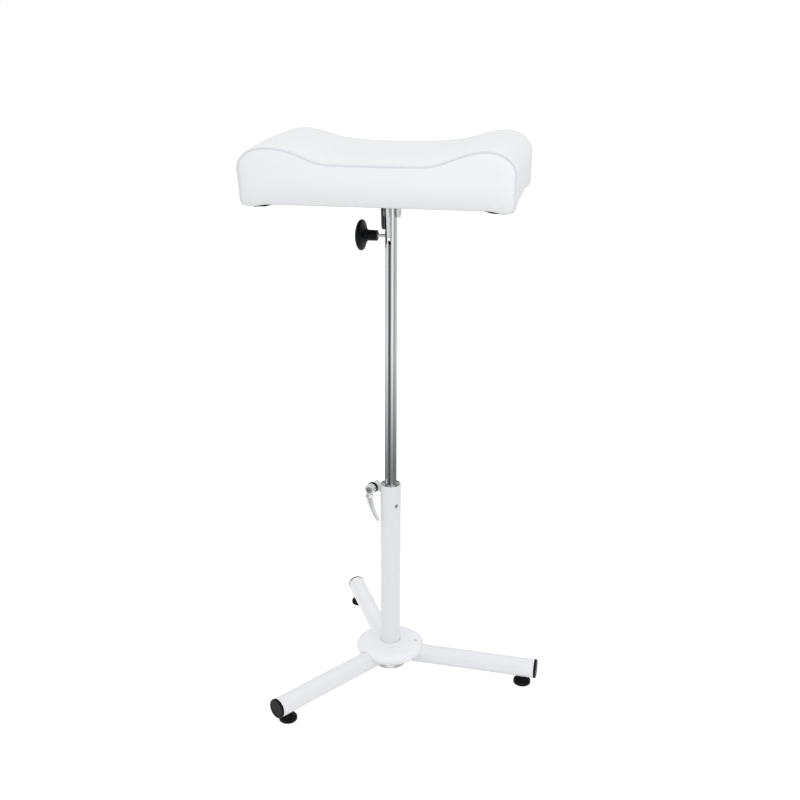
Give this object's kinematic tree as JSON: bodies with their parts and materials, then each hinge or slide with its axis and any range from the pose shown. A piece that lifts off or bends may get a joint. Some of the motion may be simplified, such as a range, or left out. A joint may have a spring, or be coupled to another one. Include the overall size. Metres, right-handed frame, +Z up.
{
  "type": "pedicure footrest",
  "caption": "Saddle-shaped white padded footrest that tilts on a height-adjustable chrome mast, in a white column with splayed tube legs.",
  "frame": {"origin": "on the floor, in the middle of the object's bounding box; the column axis stands 25.25 mm to the -X side of it", "axes": "+Z up along the column; X along the cushion's long side, the single leg pointing to +X; the cushion's front faces -Y"},
  "size_m": [0.4783, 0.4734, 0.9393],
  "materials": {
    "white_paint": "white powder coat, semi-gloss",
    "zinc_steel": "zinc plated",
    "black_plastic": "black, fine moulded grain",
    "black_rubber": "black, matt",
    "grey_plastic": "grey moulded guide bush",
    "nylon": "natural nylon",
    "chrome": "polished chrome",
    "lever_chrome": "satin chrome die casting",
    "plywood": "raw birch plywood",
    "black_cloth": "black non-woven lining",
    "foam": "upholstery foam",
    "white_leatherette": "white leatherette, fine grain",
    "piping": "leatherette welt cord"
  },
  "bodies": {
    "base": {"hub": "white_paint", "hub_set_screw": "zinc_steel", "hub_washer": "zinc_steel", "hub_bolt": "zinc_steel", "column_plug": "zinc_steel", "leg_right": "white_paint", "leg_rear": "white_paint", "leg_front": "white_paint", "leg_cap_right": "black_plastic", "leg_cap_rear": "black_plastic", "leg_cap_front": "black_plastic", "foot_right": "black_rubber", "foot_rear": "black_rubber", "foot_front": "black_rubber", "foot_pin_right": "zinc_steel", "foot_pin_rear": "zinc_steel", "foot_pin_front": "zinc_steel", "column_tube": "white_paint", "guide_bush": "grey_plastic", "bush_screw": "zinc_steel", "clamp_lug_front": "white_paint", "clamp_lug_rear": "white_paint", "clamp_nut": "zinc_steel"},
    "mast": {"mast_tube": "chrome", "mast_glide": "nylon", "lock_nut": "zinc_steel", "tilt_washer_left": "nylon", "tilt_washer_right": "nylon"},
    "seat": {"tilt_bracket": "zinc_steel", "lock_plate": "zinc_steel", "tilt_pin": "zinc_steel", "bracket_screw_1": "zinc_steel", "bracket_screw_2": "zinc_steel", "bracket_screw_3": "zinc_steel", "bracket_screw_4": "zinc_steel", "seat_board": "plywood", "base_cloth": "black_cloth", "foam_core": "foam", "cushion_cover": "white_leatherette", "piping_front": "piping", "piping_rear": "piping"},
    "knob": {"lock_knob": "black_plastic", "lock_stud": "zinc_steel"},
    "clamp": {"clamp_stud": "zinc_steel", "clamp_collar": "black_plastic", "lever_screw": "zinc_steel", "lever_spring": "zinc_steel"},
    "lever": {"clamp_lever": "lever_chrome"}
  },
  "joints": [
    {"name": "height_slide", "type": "slide", "parent": "base", "child": "mast", "axis": [0, 0, 1], "range_m": [-0.24, 0]},
    {"name": "seat_tilt", "type": "hinge", "parent": "mast", "child": "seat", "pos_m": [-0.02525, 0, 0.8125], "axis": [1, 0, 0], "range_deg": [-37, 23]},
    {"name": "knob_turn", "type": "hinge", "parent": "mast", "child": "knob", "pos_m": [-0.05525, 0, 0.7745], "axis": [-1, 0, 0], "range_deg": [-180, 180]},
    {"name": "clamp_turn", "type": "hinge", "parent": "base", "child": "clamp", "pos_m": [-0.05529, 0.0053, 0.3415], "axis": [-0.1736, -0.9848, 0], "range_deg": [-165, 0]},
    {"name": "lever_lift", "type": "slide", "parent": "clamp", "child": "lever", "axis": [-0.1736, -0.9848, 0], "range_m": [0, 0.003], "stiffness_N_per_m": 900, "springref_m": -0.003}
  ]
}
